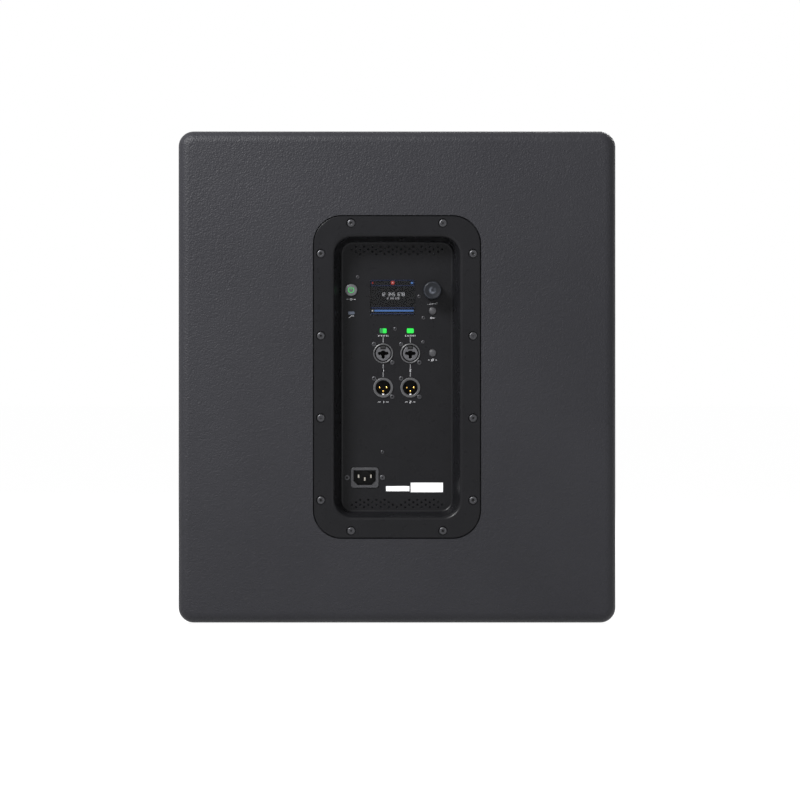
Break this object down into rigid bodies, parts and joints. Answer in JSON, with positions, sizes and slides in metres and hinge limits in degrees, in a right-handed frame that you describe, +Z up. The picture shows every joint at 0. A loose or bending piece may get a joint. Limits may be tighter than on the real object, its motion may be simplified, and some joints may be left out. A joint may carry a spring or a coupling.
{
  "type": "powered subwoofer cabinet",
  "caption": "Portable powered bass loudspeaker: coated plywood cabinet with a recessed amplifier panel at the back, pole socket, side handles and a grille-fronted woofer.",
  "frame": {"origin": "on the floor under the middle of the cabinet, at the foot of the rubber feet", "axes": "+Z up, +Y out of the back where the amplifier panel is, -Y out of the grille, +X to the right seen from the grille side"},
  "size_m": [0.49, 0.6, 0.553],
  "materials": {
    "cabinet_coating": "sprayed textured coating on plywood",
    "painted_plywood": "black painted plywood",
    "lining_felt": "needled felt",
    "grille_steel": "black powder coat",
    "grille_foam": "open foam",
    "handle_plastic": "moulded, fine texture",
    "grip_plastic": "soft-touch",
    "foot_rubber": "moulded rubber",
    "socket_steel": "black powder coat",
    "black_screw_steel": "black zinc",
    "small_screw_steel": "black oxide",
    "panel_paint": "satin black powder coat",
    "gasket_foam": "closed-cell foam",
    "display_window": "clear gloss",
    "display_picture": "lit picture",
    "knob_plastic": "soft-touch",
    "bright_steel": "turned",
    "switch_plastic": "moulded",
    "button_plastic": "moulded",
    "power_button_plastic": "domed, satin",
    "limit_lens": "unlit translucent",
    "signal_lens": "lit green",
    "jack_plastic": "moulded",
    "jack_face_metal": "satin nickel",
    "latch_plastic": "moulded",
    "gold_contacts": "gold plated",
    "inlet_plastic": "moulded",
    "nickel_blades": "nickel plated",
    "label_paper": "blank label stock",
    "galvanised_steel": "galvanised",
    "circuit_board": "solder mask",
    "sink_aluminium": "extruded",
    "supply_sleeves": "sleeves and tape",
    "lead_sleeve": "sleeving",
    "basket_paint": "black paint",
    "magnet_ferrite": "pressed ferrite",
    "motor_steel": "black phosphate",
    "coil_copper": "enamelled wire",
    "cone_paper": "pressed pulp",
    "surround_cloth": "coated cloth",
    "spider_cloth": "resin-dipped cloth"
  },
  "bodies": {
    "cabinet": {"acoustic_lining": "lining_felt", "amp_cover": "galvanised_steel", "amp_gasket": "gasket_foam", "amp_panel": "panel_paint", "amp_screws": "black_screw_steel", "back_panel": "cabinet_coating", "blank_labels": "label_paper", "board_switches": "switch_plastic", "bottom_panel": "cabinet_coating", "cone_surround": "surround_cloth", "control_board": "circuit_board", "display_lens": "display_window", "display_module": "display_picture", "fitting_screws": "black_screw_steel", "front_baffle": "painted_plywood", "front_grille": "grille_steel", "grille_foam": "grille_foam", "grille_screws": "black_screw_steel", "handle_cup_left": "handle_plastic", "handle_cup_right": "handle_plastic", "handle_grips": "grip_plastic", "heat_sink": "sink_aluminium", "inlet_blades": "nickel_blades", "input_jack_faces": "jack_face_metal", "input_jack_shells": "jack_plastic", "left_side_panel": "cabinet_coating", "limit_light": "limit_lens", "mains_inlet": "inlet_plastic", "motor_magnet": "magnet_ferrite", "motor_steel": "motor_steel", "panel_screws": "small_screw_steel", "pole_socket": "socket_steel", "port_boards": "painted_plywood", "power_board": "circuit_board", "right_side_panel": "cabinet_coating", "rubber_feet": "foot_rubber", "signal_lights": "signal_lens", "speaker_leads": "lead_sleeve", "spider": "spider_cloth", "supply_parts": "supply_sleeves", "through_pins": "gold_contacts", "through_shells": "jack_plastic", "top_panel": "cabinet_coating", "window_brace": "painted_plywood", "woofer_basket": "basket_paint", "woofer_gasket": "gasket_foam", "woofer_screws": "black_screw_steel", "woofer_terminals": "switch_plastic"},
    "cone": {"woofer_cone": "cone_paper", "voice_coil": "coil_copper", "dust_cap": "cone_paper"},
    "encoder_plunger": {"encoder_plunger": "bright_steel"},
    "knob": {"volume_knob": "knob_plastic", "encoder_shaft": "bright_steel"},
    "power_button": {"power_button": "power_button_plastic"},
    "back_button": {"back_button": "button_plastic"},
    "polarity_button": {"polarity_button": "button_plastic"},
    "input_latch_1": {"input_latch_1": "latch_plastic"},
    "input_latch_2": {"input_latch_2": "latch_plastic"}
  },
  "joints": [
    {"name": "cone_travel", "type": "slide", "parent": "cabinet", "child": "cone", "axis": [0, 1, 0], "range_m": [-0.008, 0.008], "stiffness_N_per_m": 5000, "deforming": ["cone_surround", "spider"]},
    {"name": "knob_press", "type": "slide", "parent": "cabinet", "child": "encoder_plunger", "axis": [0, -1, 0], "range_m": [0, 0.0006], "stiffness_N_per_m": 600},
    {"name": "knob_turn", "type": "hinge", "parent": "encoder_plunger", "child": "knob", "pos_m": [-0.0398, 0.272, 0.3747], "axis": [0, -1, 0], "continuous": true},
    {"name": "power_button_press", "type": "slide", "parent": "cabinet", "child": "power_button", "axis": [0, -1, 0], "range_m": [0, 0.0008], "stiffness_N_per_m": 400},
    {"name": "back_button_press", "type": "slide", "parent": "cabinet", "child": "back_button", "axis": [0, -1, 0], "range_m": [0, 0.0008], "stiffness_N_per_m": 400},
    {"name": "polarity_button_press", "type": "slide", "parent": "cabinet", "child": "polarity_button", "axis": [0, -1, 0], "range_m": [0, 0.0008], "stiffness_N_per_m": 400},
    {"name": "input_latch_1_press", "type": "slide", "parent": "cabinet", "child": "input_latch_1", "axis": [0, -1, 0], "range_m": [0, 0.0025], "stiffness_N_per_m": 400},
    {"name": "input_latch_2_press", "type": "slide", "parent": "cabinet", "child": "input_latch_2", "axis": [0, -1, 0], "range_m": [0, 0.0025], "stiffness_N_per_m": 400}
  ]
}
